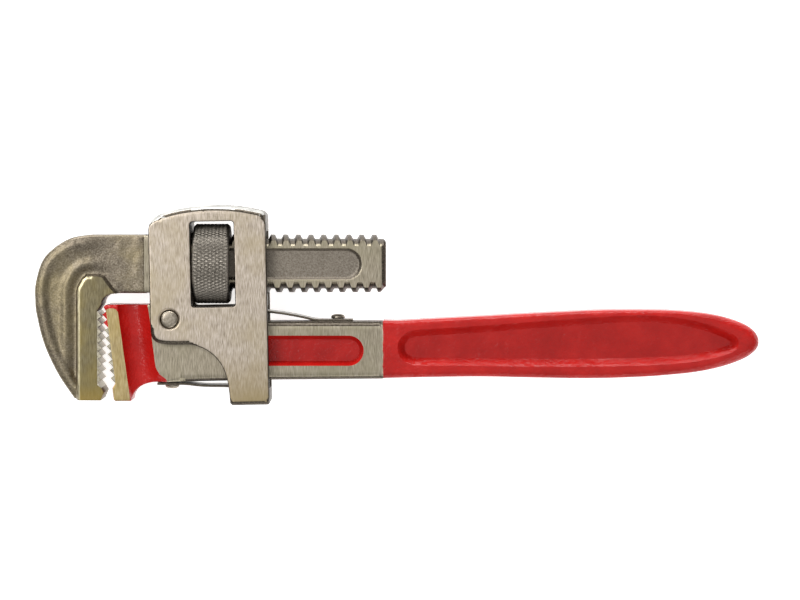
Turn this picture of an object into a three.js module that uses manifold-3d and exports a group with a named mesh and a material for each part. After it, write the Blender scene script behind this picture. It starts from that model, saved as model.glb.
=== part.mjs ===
import * as THREE from 'three';
import { mergeVertices } from 'three/addons/utils/BufferGeometryUtils.js';
import Module from 'manifold-3d';

const wasm = await Module();
wasm.setup();

// Driving sizes in millimetres. X runs along the tool towards the grip's end, Y up across it and
// Z out of its flat side. Everything is laid out from the frame's pivot and shifted at the end.

// gaps between pieces
const restGap = 0.3;         // between pieces that touch
const threadGap = 0.35;      // around the screw thread
const shankGap = 0.7;        // over and under the hook jaw's bar in the frame

// hook jaw
const shankHeight = 23.4;    // bar height and outer diameter of the thread
const shankThickness = 14;
const shankAxis = 21.8;      // thread axis above the pivot
const shankReach = 86.2;     // pivot to the bar's free end
const threadPitch = 5.08;
const threadDepth = 2.3;
const threadCrest = 1.7;     // flat on top of a thread
const threadFlank = 0.95;    // run of a thread's side
const hookBack = 26.8;       // tooth line to the back of the hook
const hookWidth = 16;        // rim of the hook, side to side
const jawWidth = 19;         // both tooth faces, side to side
const hookTip = 32.7;        // tip below the pivot
const toothLine = 27.35;     // hook's tooth line left of the pivot
const toothPitch = 3.175;
const toothDepth = 1.6;
const hookTeeth = 10;
const heelTeeth = 9;

// adjusting nut
const nutDiameter = 32;
const nutWidth = 14.4;
const nutEdge = 0.9;         // chamfer of its rims
const nutPlay = 3;           // free room beside the nut in the window

// frame
const frameDepth = 25.6;     // side to side
const frameLeft = 7.55;      // left edge from the pivot
const cheekRight = 12.7;     // width right of the window
const windowLeft = 9;
const topWeb = 6.4;          // metal over the window
const topRadius = 73;        // arched top
const legWidth = 15.6;
const legDrop = 34.8;        // leg's end below the pivot
const legWeb = 6.1;          // bridge under the handle
const lipDrop = 10.2;        // lower edge of the cheeks below the pivot
const frameLean = 1.1;       // degrees the loose frame leans back at rest
const pivotRadius = 3.4;

// handle
const handleReach = 236;     // pivot to the grip's end
const handleThickness = 15.8;
const headTop = 5.7;         // head's top above the pivot
const neckHeight = 23.5;
const neckDrop = 24.4;       // neck's underside below the pivot
const neckEdge = 1.7;        // rounding of the neck and grip
const gripStart = 85;
const gripHeight = 27.4;     // at its widest
const webThickness = 7.6;    // between the side pockets
const pocketRun = 2.6;       // slope of the pockets' sides
const heelTip = 32.9;        // heel jaw's end below the pivot
const heelLeft = 26.9;       // first heel tooth left of the pivot
const heelSlope = 0.1245;    // how the heel's tooth line falls away

// springs and their rivets
const springWidth = 12;
const springThickness = 0.9;
const springRivetHead = 2.8;
const springRivetShank = 1.5;
const upperRivetAt = 66.9;
const lowerRivetAt = 0.2;

const windowWidth = nutWidth + nutPlay;
const nutLeft = windowLeft + 0.27;
const windowHeight = nutDiameter + 2;
const windowBottom = shankAxis - windowHeight / 2 - 0.2;
const frameRight = windowLeft + windowWidth + cheekRight;
const frameTop = windowBottom + windowHeight + topWeb;
const slotHalf = handleThickness / 2 + restGap;
const shankTop = shankAxis + shankHeight / 2;
const shankBottom = shankAxis - shankHeight / 2;

function asSolid(geometry) {
  geometry.deleteAttribute('normal');
  geometry.deleteAttribute('uv');
  const joined = mergeVertices(geometry, 1e-4);
  return new wasm.Manifold(new wasm.Mesh({
    numProp: 3,
    vertProperties: new Float32Array(joined.attributes.position.array),
    triVerts: new Uint32Array(joined.index.array),
  }));
}

function asGeometry(solid) {
  const mesh = solid.getMesh();
  const geometry = new THREE.BufferGeometry();
  geometry.setAttribute('position', new THREE.BufferAttribute(mesh.vertProperties, 3));
  geometry.setIndex(new THREE.BufferAttribute(mesh.triVerts, 1));
  return geometry;
}

function shapeOf(points) {
  return new THREE.Shape(points.map(([x, y]) => new THREE.Vector2(x, y)));
}

function plate(points, half) {
  const body = new THREE.ExtrudeGeometry(shapeOf(points), { depth: 2 * half, bevelEnabled: false });
  body.translate(0, 0, -half);
  return asSolid(body);
}

// a plate whose edges are rounded on both faces
function softPlate(points, half, edge, steps) {
  const body = new THREE.ExtrudeGeometry(shapeOf(points), {
    depth: 2 * (half - edge),
    bevelThickness: edge,
    bevelSize: edge,
    bevelOffset: -edge,
    bevelSegments: steps,
  });
  body.translate(0, 0, edge - half);
  return asSolid(body);
}

// two cutters, one for each side, that leave a web between them; the sides slope outwards
function pocketPair(points, webHalf, faceHalf, run) {
  const depth = 6;
  return [faceHalf, -faceHalf - depth].map((low) => {
    const body = new THREE.ExtrudeGeometry(shapeOf(points), {
      depth,
      bevelThickness: faceHalf - webHalf,
      bevelSize: run,
      bevelOffset: 0,
      bevelSegments: 2,
    });
    body.translate(0, 0, low);
    return asSolid(body);
  });
}

function block(x0, x1, y0, y1, half) {
  const body = new THREE.BoxGeometry(x1 - x0, y1 - y0, 2 * half);
  body.translate((x0 + x1) / 2, (y0 + y1) / 2, 0);
  return asSolid(body);
}

// a turned body round Z, given as [radius, height] from the bottom of the axis to its top
function turned(profile, sides) {
  const body = new THREE.LatheGeometry(profile.map(([r, h]) => new THREE.Vector2(r, h)), sides);
  body.rotateX(Math.PI / 2);
  return body;
}

function smooth(points, count) {
  const curve = new THREE.SplineCurve(points.map(([x, y]) => new THREE.Vector2(x, y)));
  return curve.getPoints(count).map((p) => [p.x, p.y]);
}

function arc(cx, cy, radius, fromDegrees, toDegrees, count) {
  const points = [];
  for (let i = 0; i <= count; i += 1) {
    const a = (fromDegrees + ((toDegrees - fromDegrees) * i) / count) * (Math.PI / 180);
    points.push([cx + radius * Math.cos(a), cy + radius * Math.sin(a)]);
  }
  return points;
}

// a slot with a round end at each side
function slotOutline(x0, x1, y0, y1, steps) {
  const radius = (y1 - y0) / 2;
  const middle = (y0 + y1) / 2;
  return [
    ...arc(x1 - radius, middle, radius, -90, 90, steps),
    ...arc(x0 + radius, middle, radius, 90, 270, steps),
  ];
}

// closed body of a right-hand screw thread round X, with a crest at the given place on top
function screw(start, end, root, crest, crestHalf, crestAt) {
  const sides = 24;
  const rows = 4;
  const first = Math.floor((start - crestAt) / threadPitch) - 2;
  const last = Math.ceil((end - crestAt) / threadPitch) + 2;
  const offsets = [-crestHalf - threadFlank, -crestHalf, crestHalf, crestHalf + threadFlank];
  const radii = [root, crest, crest, root];
  const count = (last - first) * rows;
  const places = [];
  for (let k = 0; k < count; k += 1) {
    const turn = first + Math.floor(k / rows);
    for (let j = 0; j < sides; j += 1) {
      const a = (j / sides) * 2 * Math.PI;
      const r = radii[k % rows];
      const x = crestAt + (turn + j / sides) * threadPitch + offsets[k % rows];
      places.push(x, r * Math.cos(a), r * Math.sin(a));
    }
  }
  const at = (k, j) => (j < sides ? k * sides + j : (k + rows) * sides);
  const faces = [];
  for (let k = 0; k < count - rows - 1; k += 1) {
    for (let j = 0; j < sides; j += 1) {
      faces.push(at(k, j), at(k, j + 1), at(k + 1, j));
      faces.push(at(k + 1, j), at(k, j + 1), at(k + 1, j + 1));
    }
  }
  [[0, 1], [count - rows - 1, -1]].forEach(([k, way]) => {
    const centre = places.length / 3;
    places.push(places[at(k, 12) * 3], 0, 0);
    const rim = [];
    for (let j = 0; j < sides; j += 1) {
      rim.push(at(k, j));
    }
    for (let i = rows; i > 0; i -= 1) {
      rim.push(at(k + i, 0));
    }
    rim.forEach((one, i) => {
      const next = rim[(i + 1) % rim.length];
      faces.push(...(way > 0 ? [centre, next, one] : [centre, one, next]));
    });
  });
  const body = new THREE.BufferGeometry();
  body.setAttribute('position', new THREE.Float32BufferAttribute(places, 3));
  body.setIndex(faces);
  return asSolid(body);
}

// tips and roots of a row of teeth along a line, from its first tip
function teeth(x, y, dx, dy, count, depthX, depthY) {
  const points = [];
  for (let i = 0; i < count; i += 1) {
    points.push([x + dx * i, y + dy * i]);
    points.push([x + dx * (i + 0.62) + depthX, y + dy * (i + 0.62) + depthY]);
  }
  return points;
}

const finish = {
  steel: new THREE.MeshStandardMaterial({ color: 0xb5ab98, metalness: 0.9, roughness: 0.45 }),
  forging: new THREE.MeshStandardMaterial({ color: 0x8f8672, metalness: 0.8, roughness: 0.6 }),
  dark: new THREE.MeshStandardMaterial({ color: 0x6b655d, metalness: 0.8, roughness: 0.5 }),
  red: new THREE.MeshStandardMaterial({ color: 0xb22828, metalness: 0.0, roughness: 0.35 }),
  bright: new THREE.MeshStandardMaterial({ color: 0xb0b0ac, metalness: 0.9, roughness: 0.35 }),
};

const group = new THREE.Group();
group.name = 'pipe_wrench';

function place(name, geometry, material) {
  const mesh = new THREE.Mesh(geometry, material);
  mesh.name = name;
  group.add(mesh);
}

// ---- handle with its heel jaw ----
const neckTop = neckHeight - neckDrop;
const gripBottom = -24;
const gripTop = gripBottom + gripHeight;
const gripLength = handleReach - gripStart;
const gripX = (share) => gripStart + gripLength * share;
const nutBottom = shankAxis - nutDiameter / 2;
const gripOver = smooth([
  [gripX(0.998), -11.5],
  [gripX(0.988), -4.9],
  [gripX(0.951), -1.7],
  [gripX(0.895), gripTop - 2.4],
  [gripX(0.8), gripTop - 0.6],
  [gripX(0.68), gripTop],
  [gripX(0.47), gripTop - 0.7],
  [gripX(0.25), gripTop - 2.4],
  [gripX(0.09), neckTop + 0.3],
  [gripX(0.01), neckTop],
], 26);
const gripUnder = smooth([
  [gripX(0.01), -neckDrop + 0.5],
  [gripX(0.27), gripBottom + 0.7],
  [gripX(0.55), gripBottom],
  [gripX(0.68), gripBottom + 0.6],
  [gripX(0.845), gripBottom + 2.7],
  [gripX(0.951), gripBottom + 7.1],
  [gripX(0.988), gripBottom + 10],
  [gripX(0.998), -11.5],
], 20);
const bodyOutline = [
  [-12, -27.2],
  [-9.4, -26],
  [-5.5, -25.5],
  [gripX(-0.3), -neckDrop],
  ...gripUnder.slice(0, -1),
  ...gripOver,
  [windowLeft + windowWidth + 12, neckTop],
  [windowLeft + windowWidth, neckTop + 0.2],
  [windowLeft + 5, neckTop + 1.5],
  [windowLeft - 1, Math.min(2.2, nutBottom - 3.6)],
  [windowLeft - 5, Math.min(4.4, nutBottom - 1.4)],
  [0, headTop - 0.2],
  [-4, headTop],
  [-12, headTop],
];
const bodyHalf = handleThickness / 2;
const heelFoot = -heelLeft + heelSlope * (heelTip + 1.7);
const headOutline = [
  [-22, -heelTip],
  [-15.6, -heelTip],
  ...smooth([[-15.4, -31.4], [-13.6, -28.6], [-10.5, -26.4], [-6.8, -25.6]], 8),
  [-4, -25.3],
  [-4, headTop],
  [-25.6, headTop],
  [-25.6, -2],
];
const heelRow = teeth(
  -heelLeft, 1.7, heelSlope * toothPitch, -toothPitch, heelTeeth, toothDepth, 0,
);
const heelOutline = [
  ...heelRow,
  [heelFoot - 0.5, -27.6],
  [heelFoot + 0.1, -heelTip + 0.6],
  [heelFoot + 0.7, -heelTip],
  [-16, -heelTip],
  [-16, -31.5],
  [-20.6, 4.6],
  [-21.4, headTop],
  [-heelLeft + 0.7, headTop],
  [-heelLeft + 0.2, headTop - 0.6],
  [-heelLeft + toothDepth, 3.1],
];
const channelCut = [-1, 1].map((side) => {
  const body = new THREE.CylinderGeometry(9, 9, 90, 32);
  body.rotateZ(0.13);
  body.translate(-13.2, -12, side * 13.6);
  return asSolid(body);
});
const neckPocket = slotOutline(34, gripStart - 9.5, -17.1, -8.5, 6);
const gripPocket = [
  ...smooth([
    [gripX(0.07), -15.6],
    [gripX(0.3), -16],
    [gripX(0.6), -16.2],
    [gripX(0.78), -15.2],
    [gripX(0.9), -12.4],
    [gripX(0.925), -9.5],
    [gripX(0.9), -6],
    [gripX(0.8), -2.9],
    [gripX(0.66), -1.4],
    [gripX(0.35), -4.1],
    [gripX(0.11), -7.2],
  ], 36),
  [gripX(0.075), -8.2],
  [gripX(0.058), -10.4],
  [gripX(0.058), -13.6],
];
let handle = softPlate(bodyOutline, bodyHalf, neckEdge, 2)
  .add(softPlate(headOutline, bodyHalf, 0.5, 1));
channelCut.forEach((cut) => {
  handle = handle.subtract(cut);
});
handle = handle.add(plate(heelOutline, jawWidth / 2));
[
  ...pocketPair(neckPocket, webThickness / 2, bodyHalf, 2),
  ...pocketPair(gripPocket, webThickness / 2, bodyHalf, pocketRun),
].forEach((cut) => {
  handle = handle.subtract(cut);
});
const pivotHole = new THREE.CylinderGeometry(pivotRadius + restGap, pivotRadius + restGap, 60, 32);
pivotHole.rotateX(Math.PI / 2);
const pivotCut = asSolid(pivotHole);
handle = handle.subtract(pivotCut);
const rivetHole = new THREE.CylinderGeometry(springRivetShank + 0.2, springRivetShank + 0.2, 12, 16);
rivetHole.translate(upperRivetAt, neckTop, 0);
handle = handle.subtract(asSolid(rivetHole));
const lowerHole = new THREE.CylinderGeometry(springRivetShank + 0.2, springRivetShank + 0.2, 12, 16);
lowerHole.translate(lowerRivetAt, -25.4, 0);
handle = handle.subtract(asSolid(lowerHole));
place('handle', asGeometry(handle), finish.red);

// ---- hook jaw ----
const toothX = -toothLine;
const hookX = (share) => toothX - hookBack * share;
const tipY = -hookTip;
const hookY = (share) => tipY + (shankTop - tipY) * share;
const outerCurve = smooth([
  [hookX(0.1), shankTop],
  [hookX(0.23), hookY(0.9985)],
  [hookX(0.47), hookY(0.979)],
  [hookX(0.71), hookY(0.922)],
  [hookX(0.89), hookY(0.84)],
  [hookX(0.992), hookY(0.706)],
  [hookX(0.98), hookY(0.524)],
  [hookX(0.87), hookY(0.341)],
  [hookX(0.66), hookY(0.157)],
  [hookX(0.42), hookY(0.01)],
], 30);
const throat = smooth([
  [toothX + 0.2, shankBottom - 3.4],
  [toothX + 0.75, shankBottom - 2.2],
  [toothX + 2.2, shankBottom - 0.9],
  [toothX + 4.2, shankBottom - 0.15],
  [toothX + 6.6, shankBottom],
], 8);
const hookOutline = [
  [hookX(0.36), tipY],
  [hookX(0.06), tipY],
  [toothX - toothDepth, tipY + 3],
  [toothX - toothDepth, shankBottom - 4.6],
  ...throat,
  [-10, shankBottom],
  [-10, shankTop],
  ...outerCurve,
];
const padOutline = [
  [hookX(0.345), tipY + 0.4],
  [hookX(0.345), tipY],
  [toothX - 0.3, tipY],
  [toothX + 1.1, tipY + 3.4],
  ...teeth(toothX, tipY + 5.2, 0, toothPitch, hookTeeth, -toothDepth, 0),
  [toothX, shankBottom - 4.4],
  ...throat.slice(0, 7),
  [toothX + 3.5, shankBottom + 1.8],
  [toothX + 0.5, shankBottom + 6],
  [toothX - 1.2, shankBottom + 6.8],
  [hookX(0.26), shankBottom + 6.4],
  [hookX(0.33), shankBottom + 4],
  [hookX(0.345), shankBottom + 1],
];
const dish = smooth([
  [hookX(0.3), shankTop - 4.6],
  [hookX(0.5), shankTop - 6],
  [hookX(0.72), hookY(0.84)],
  [hookX(0.84), hookY(0.7)],
  [hookX(0.83), hookY(0.5)],
  [hookX(0.74), hookY(0.34)],
  [hookX(0.57), hookY(0.18)],
], 16);
const dishOutline = [
  ...dish,
  [hookX(0.44), hookY(0.12)],
  [hookX(0.42), hookY(0.6)],
  [hookX(0.34), hookY(0.78)],
  [hookX(0.1), hookY(0.82)],
  [hookX(-0.2), hookY(0.82)],
  [hookX(-0.2), shankTop - 5],
];
const shankEnd = [
  [-60, shankBottom - 1],
  [shankReach - 3.4, shankBottom - 1],
  [shankReach - 3.4, shankBottom],
  [shankReach, shankBottom + 3.4],
  [shankReach, shankTop - 2],
  [shankReach - 0.7, shankTop - 0.6],
  [shankReach - 2.4, shankTop],
  [shankReach - 2.4, shankTop + 1],
  [-60, shankTop + 1],
];
const threadStart = 5;
const shankHalf = shankThickness / 2;
const crestAt = 40.8;
const crestRadius = shankHeight / 2;
const thread = screw(threadStart, shankReach, crestRadius - threadDepth, crestRadius,
  threadCrest / 2, crestAt);
const threadBody = thread
  .translate([0, shankAxis, 0])
  .intersect(block(threadStart - 1, shankReach, shankBottom - 2, shankTop + 2, shankHalf))
  .intersect(plate(shankEnd, shankHalf + 1));
const bar = softPlate([
  [-32, shankBottom],
  [threadStart, shankBottom],
  [threadStart, shankTop],
  [-32, shankTop],
], shankHalf, 1.4, 2);
let hook = softPlate(hookOutline, hookWidth / 2, 1.3, 2);
pocketPair(dishOutline, hookWidth / 2 - 1.9, hookWidth / 2, 1.5).forEach((cut) => {
  hook = hook.subtract(cut);
});
hook = hook.add(plate(padOutline, jawWidth / 2));
hook = hook.add(bar);
hook = hook.add(threadBody);
const sideGroove = slotOutline(8, shankReach - 10.8, shankAxis - 5.2, shankAxis + 5.2, 6);
pocketPair(sideGroove, shankHalf - 1.6, shankHalf, 1.1).forEach((cut) => {
  hook = hook.subtract(cut);
});
place('hook_jaw', asGeometry(hook), finish.forging);

// ---- adjusting nut ----
const nutRadius = nutDiameter / 2;
const nutBody = new THREE.CylinderGeometry(nutRadius, nutRadius, nutWidth - 2 * nutEdge, 40);
const rim = [-1, 1].map((side) => {
  const small = nutRadius - nutEdge;
  const body = new THREE.CylinderGeometry(
    side > 0 ? small : nutRadius, side > 0 ? nutRadius : small, nutEdge, 40,
  );
  body.translate(0, side * (nutWidth / 2 - nutEdge / 2), 0);
  body.rotateZ(-Math.PI / 2);
  return asSolid(body);
});
nutBody.rotateZ(-Math.PI / 2);
let nut = asSolid(nutBody).add(rim[0]).add(rim[1]);
nut = nut.translate([nutLeft + nutWidth / 2, 0, 0]);
nut = nut.subtract(screw(nutLeft, nutLeft + nutWidth, crestRadius - threadDepth + threadGap,
  crestRadius + threadGap, threadCrest / 2 + restGap, crestAt));
nut = nut.translate([0, shankAxis, 0]);
place('adjusting_nut', asGeometry(nut), finish.dark);

// ---- frame ----
const legLeft = frameRight - legWidth;
const archX = (frameRight - frameLeft) / 2 + 2.1;
const archY = frameTop - topRadius;
const archAt = (x) => archY + Math.sqrt(topRadius * topRadius - (x - archX) * (x - archX));
const archPoints = [];
for (let i = 0; i <= 14; i += 1) {
  const x = frameRight - 1.3 - ((frameRight + frameLeft - 6) * i) / 14;
  archPoints.push([x, archAt(x)]);
}
const lipY = -lipDrop;
const curveX = (share) => frameLeft * -1 + (legLeft + frameLeft) * share;
const curveY = (share) => lipY - (legDrop - lipDrop) * share;
const frameOutline = [
  [legLeft + 0.8, -legDrop],
  [frameRight - 0.8, -legDrop],
  [frameRight, -legDrop + 0.8],
  [frameRight, archAt(frameRight) - 1.4],
  [frameRight - 0.4, archAt(frameRight) - 0.4],
  ...archPoints,
  [-frameLeft + 3.1, archAt(-frameLeft) + 0.5],
  [-frameLeft + 1.4, archAt(-frameLeft) - 0.9],
  [-frameLeft + 0.3, archAt(-frameLeft) - 3],
  [-frameLeft, archAt(-frameLeft) - 5],
  ...smooth([
    [-frameLeft, lipY + 5.6],
    [-frameLeft + 0.15, lipY + 4],
    [-frameLeft + 1, lipY + 2.2],
    [-frameLeft + 2.8, lipY + 0.9],
    [-frameLeft + 6, lipY + 0.2],
    [curveX(0.34), lipY],
    [curveX(0.52), curveY(0.005)],
    [curveX(0.64), curveY(0.05)],
    [curveX(0.74), curveY(0.12)],
    [curveX(0.83), curveY(0.22)],
    [curveX(0.91), curveY(0.37)],
    [curveX(0.965), curveY(0.56)],
    [curveX(0.99), curveY(0.76)],
    [legLeft, -legDrop + 0.8],
  ], 34),
];
const frameHalf = frameDepth / 2;
const lowerPart = softPlate(frameOutline, frameHalf, 0.5, 1)
  .intersect(block(-frameLeft - 1, frameRight + 1, -legDrop + 1.6, frameTop - 8, frameHalf));
let frame = softPlate(frameOutline, frameHalf, 1.2, 2).add(lowerPart);
frame = frame.subtract(block(-20, 60, -legDrop + legWeb, shankTop + shankGap, slotHalf));
const leanRise = (x) => x * Math.sin((frameLean * Math.PI) / 180);
const ledgeTop = shankBottom - shankGap - leanRise(frameRight);
frame = frame.add(
  block(windowLeft + windowWidth, frameRight - 0.5, ledgeTop - 4.6, ledgeTop, slotHalf + 0.2),
);
const windowOutline = [
  ...arc(windowLeft + windowWidth - 1.2, windowBottom + 1.2, 1.2, -90, 0, 3),
  ...arc(windowLeft + windowWidth - 1.2, windowBottom + windowHeight - 1.2, 1.2, 0, 90, 3),
  ...arc(windowLeft + 1.2, windowBottom + windowHeight - 1.2, 1.2, 90, 180, 3),
  ...arc(windowLeft + 1.2, windowBottom + 1.2, 1.2, 180, 270, 3),
];
frame = frame.subtract(plate(windowOutline, frameHalf + 2));
frame = frame.subtract(pivotCut);
[-1, 1].forEach((side) => {
  const sink = new THREE.CylinderGeometry(
    side > 0 ? pivotRadius + 0.9 : pivotRadius, side > 0 ? pivotRadius : pivotRadius + 0.9, 1.8, 32,
  );
  sink.rotateX(Math.PI / 2);
  sink.translate(0, 0, side * (frameHalf - 0.7));
  frame = frame.subtract(asSolid(sink));
});
frame = frame.rotate([0, 0, frameLean]);
place('frame', asGeometry(frame), finish.steel);

// ---- pivot rivet ----
const rivetTop = frameHalf + 0.35;
place('frame_pivot_rivet', turned([
  [0, -rivetTop],
  [pivotRadius * 0.62, -rivetTop],
  [pivotRadius * 0.95, -rivetTop + 0.35],
  [pivotRadius, -rivetTop + 0.9],
  [pivotRadius, rivetTop - 0.9],
  [pivotRadius * 0.95, rivetTop - 0.35],
  [pivotRadius * 0.62, rivetTop],
  [0, rivetTop],
], 32), finish.steel);

// ---- leaf springs ----
// the strip between two faces that follow the same line
function strip(line, thickness) {
  const faces = [-1, 1].map((side) => line.map(([x, y], i) => {
    const [ax, ay] = line[Math.max(i - 1, 0)];
    const [bx, by] = line[Math.min(i + 1, line.length - 1)];
    const long = Math.hypot(bx - ax, by - ay);
    const half = (side * thickness) / 2;
    return [x - ((by - ay) / long) * half, y + ((bx - ax) / long) * half];
  }));
  return [...faces[0], ...faces[1].reverse()];
}

function rivetFor(at, seat, way) {
  const body = turned([
    [0, -4.6],
    [springRivetShank, -4.6],
    [springRivetShank, springThickness + 0.4],
    [springRivetHead, springThickness + 0.4],
    [springRivetHead * 0.96, springThickness + 0.9],
    [springRivetHead * 0.74, springThickness + 1.6],
    [springRivetHead * 0.4, springThickness + 2],
    [0, springThickness + 2.1],
  ], 20);
  body.rotateX((-way * Math.PI) / 2);
  body.translate(at, seat, 0);
  return body;
}

function spring(line, at) {
  const hole = new THREE.CylinderGeometry(
    springRivetShank + 0.2, springRivetShank + 0.2, 12, 16,
  );
  hole.translate(at, line[0][1], 0);
  return plate(strip(line, springThickness), springWidth / 2).subtract(asSolid(hole));
}

const upperSeat = neckTop;
const upperY = upperSeat + restGap + springThickness / 2;
const underLedge = (x) => ledgeTop - 4.6 + leanRise(x) - restGap - springThickness / 2;
const upperLine = [
  [upperRivetAt + 6, upperY],
  [upperRivetAt - 7.5, upperY],
  ...smooth([
    [upperRivetAt - 9.5, upperY + 0.15],
    [upperRivetAt - 15, upperY + 1.35],
    [upperRivetAt - 21, upperY + 2.3],
    [upperRivetAt - 27.5, Math.min(upperY + 3, underLedge(upperRivetAt - 27.5))],
    [windowLeft + windowWidth + 4, underLedge(windowLeft + windowWidth + 4)],
    [windowLeft + windowWidth + 1, underLedge(windowLeft + windowWidth + 1) - 0.2],
  ], 12),
];
place('upper_leaf_spring', asGeometry(spring(upperLine, upperRivetAt)), finish.bright);
place('upper_spring_rivet', rivetFor(upperRivetAt, upperSeat, 1), finish.bright);

const lowerSeat = -25.45;
const lowerY = lowerSeat - restGap - springThickness / 2;
const legFloor = (x) => legWeb - legDrop + leanRise(x) + restGap + springThickness / 2;
const lowerLine = [
  [lowerRivetAt - 5.6, lowerY],
  [lowerRivetAt + 5, lowerY],
  ...smooth([
    [lowerRivetAt + 7, lowerY - 0.12],
    [lowerRivetAt + 13, lowerY - 0.75],
    [lowerRivetAt + 22, Math.max(lowerY - 1.2, legFloor(legLeft) + 0.4)],
    [legLeft + 5, legFloor(legLeft + 5)],
    [legLeft + 10, legFloor(legLeft + 10) + 0.4],
  ], 8),
];
place('lower_leaf_spring', asGeometry(spring(lowerLine, lowerRivetAt)), finish.bright);
place('lower_spring_rivet', rivetFor(lowerRivetAt, lowerSeat, -1), finish.bright);

// the origin goes under the middle of the whole tool
const bounds = new THREE.Box3();
group.children.forEach((mesh) => {
  mesh.geometry.computeBoundingBox();
  bounds.union(mesh.geometry.boundingBox);
});
const middle = bounds.getCenter(new THREE.Vector3());
group.children.forEach((mesh) => {
  mesh.geometry.translate(-middle.x, -middle.y, -bounds.min.z);
});

export default group;
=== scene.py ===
import bpy, math
import numpy as np
from mathutils import Matrix, Vector
from mathutils.geometry import delaunay_2d_cdt


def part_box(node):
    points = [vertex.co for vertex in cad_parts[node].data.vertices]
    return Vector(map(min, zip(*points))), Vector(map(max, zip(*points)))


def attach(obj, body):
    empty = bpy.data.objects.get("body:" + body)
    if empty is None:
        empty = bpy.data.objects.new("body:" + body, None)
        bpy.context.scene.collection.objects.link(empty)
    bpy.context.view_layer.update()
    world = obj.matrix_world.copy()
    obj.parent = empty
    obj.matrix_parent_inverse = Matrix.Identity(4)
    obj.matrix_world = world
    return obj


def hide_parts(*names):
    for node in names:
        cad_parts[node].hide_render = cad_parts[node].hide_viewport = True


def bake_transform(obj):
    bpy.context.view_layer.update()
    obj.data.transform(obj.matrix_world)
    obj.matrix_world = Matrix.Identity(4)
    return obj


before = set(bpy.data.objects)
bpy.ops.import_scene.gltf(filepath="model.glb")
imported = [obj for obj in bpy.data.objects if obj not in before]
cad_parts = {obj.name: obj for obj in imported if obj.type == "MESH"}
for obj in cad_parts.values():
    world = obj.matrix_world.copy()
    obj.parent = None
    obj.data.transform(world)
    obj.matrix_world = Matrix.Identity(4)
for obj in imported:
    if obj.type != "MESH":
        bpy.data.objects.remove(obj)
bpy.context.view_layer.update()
print("frame loaded")

# outlines are in millimetres from the frame's rivet: X towards the grip's end, Y across, Z out of the flat side
rivetLow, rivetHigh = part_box("frame_pivot_rivet")
pivot = [(rivetLow[i] + rivetHigh[i]) / 2 for i in range(3)]


def inFrame(points):
    return np.asarray(points, dtype=float) * 0.001 + np.array(pivot)


def hexColour(text):
    parts = [int(text[i:i + 2], 16) / 255 for i in (1, 3, 5)]
    return tuple(c / 12.92 if c <= 0.04045 else ((c + 0.055) / 1.055) ** 2.4 for c in parts) + (1.0,)


def addNode(tree, kind, settings=None, values=None, links=None):
    node = tree.nodes.new(kind)
    for key, value in (settings or {}).items():
        setattr(node, key, value)
    for key, value in (values or {}).items():
        node.inputs[key].default_value = value
    for key, source in (links or {}).items():
        tree.links.new(source, node.inputs[key])
    return node


def addObject(name, data):
    thing = bpy.data.objects.new(name, data)
    bpy.context.scene.collection.objects.link(thing)
    return thing


def newMaterial(name):
    material = bpy.data.materials.new(name)
    material.use_nodes = True
    tree = material.node_tree
    tree.nodes.clear()
    return material, tree, addNode(tree, "ShaderNodeTexCoord").outputs["Object"]


def setRamp(node, stops):
    ramp = node.color_ramp
    while len(ramp.elements) > 1:
        ramp.elements.remove(ramp.elements[-1])
    ramp.elements[0].position, ramp.elements[0].color = stops[0][0], hexColour(stops[0][1])
    for place, colour in stops[1:]:
        ramp.elements.new(place).color = hexColour(colour)
    return node


def mixColours(tree, amount, first, second):
    mix = addNode(tree, "ShaderNodeMix", {"data_type": "RGBA"})
    for socket, value in ((mix.inputs[0], amount), (mix.inputs[6], first), (mix.inputs[7], second)):
        if isinstance(value, bpy.types.NodeSocket):
            tree.links.new(value, socket)
        else:
            socket.default_value = value
    return mix.outputs[2]


def finishShader(tree, values, links):
    shader = addNode(tree, "ShaderNodeBsdfPrincipled", values=values, links=links)
    addNode(tree, "ShaderNodeOutputMaterial", links={"Surface": shader.outputs["BSDF"]})


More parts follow.
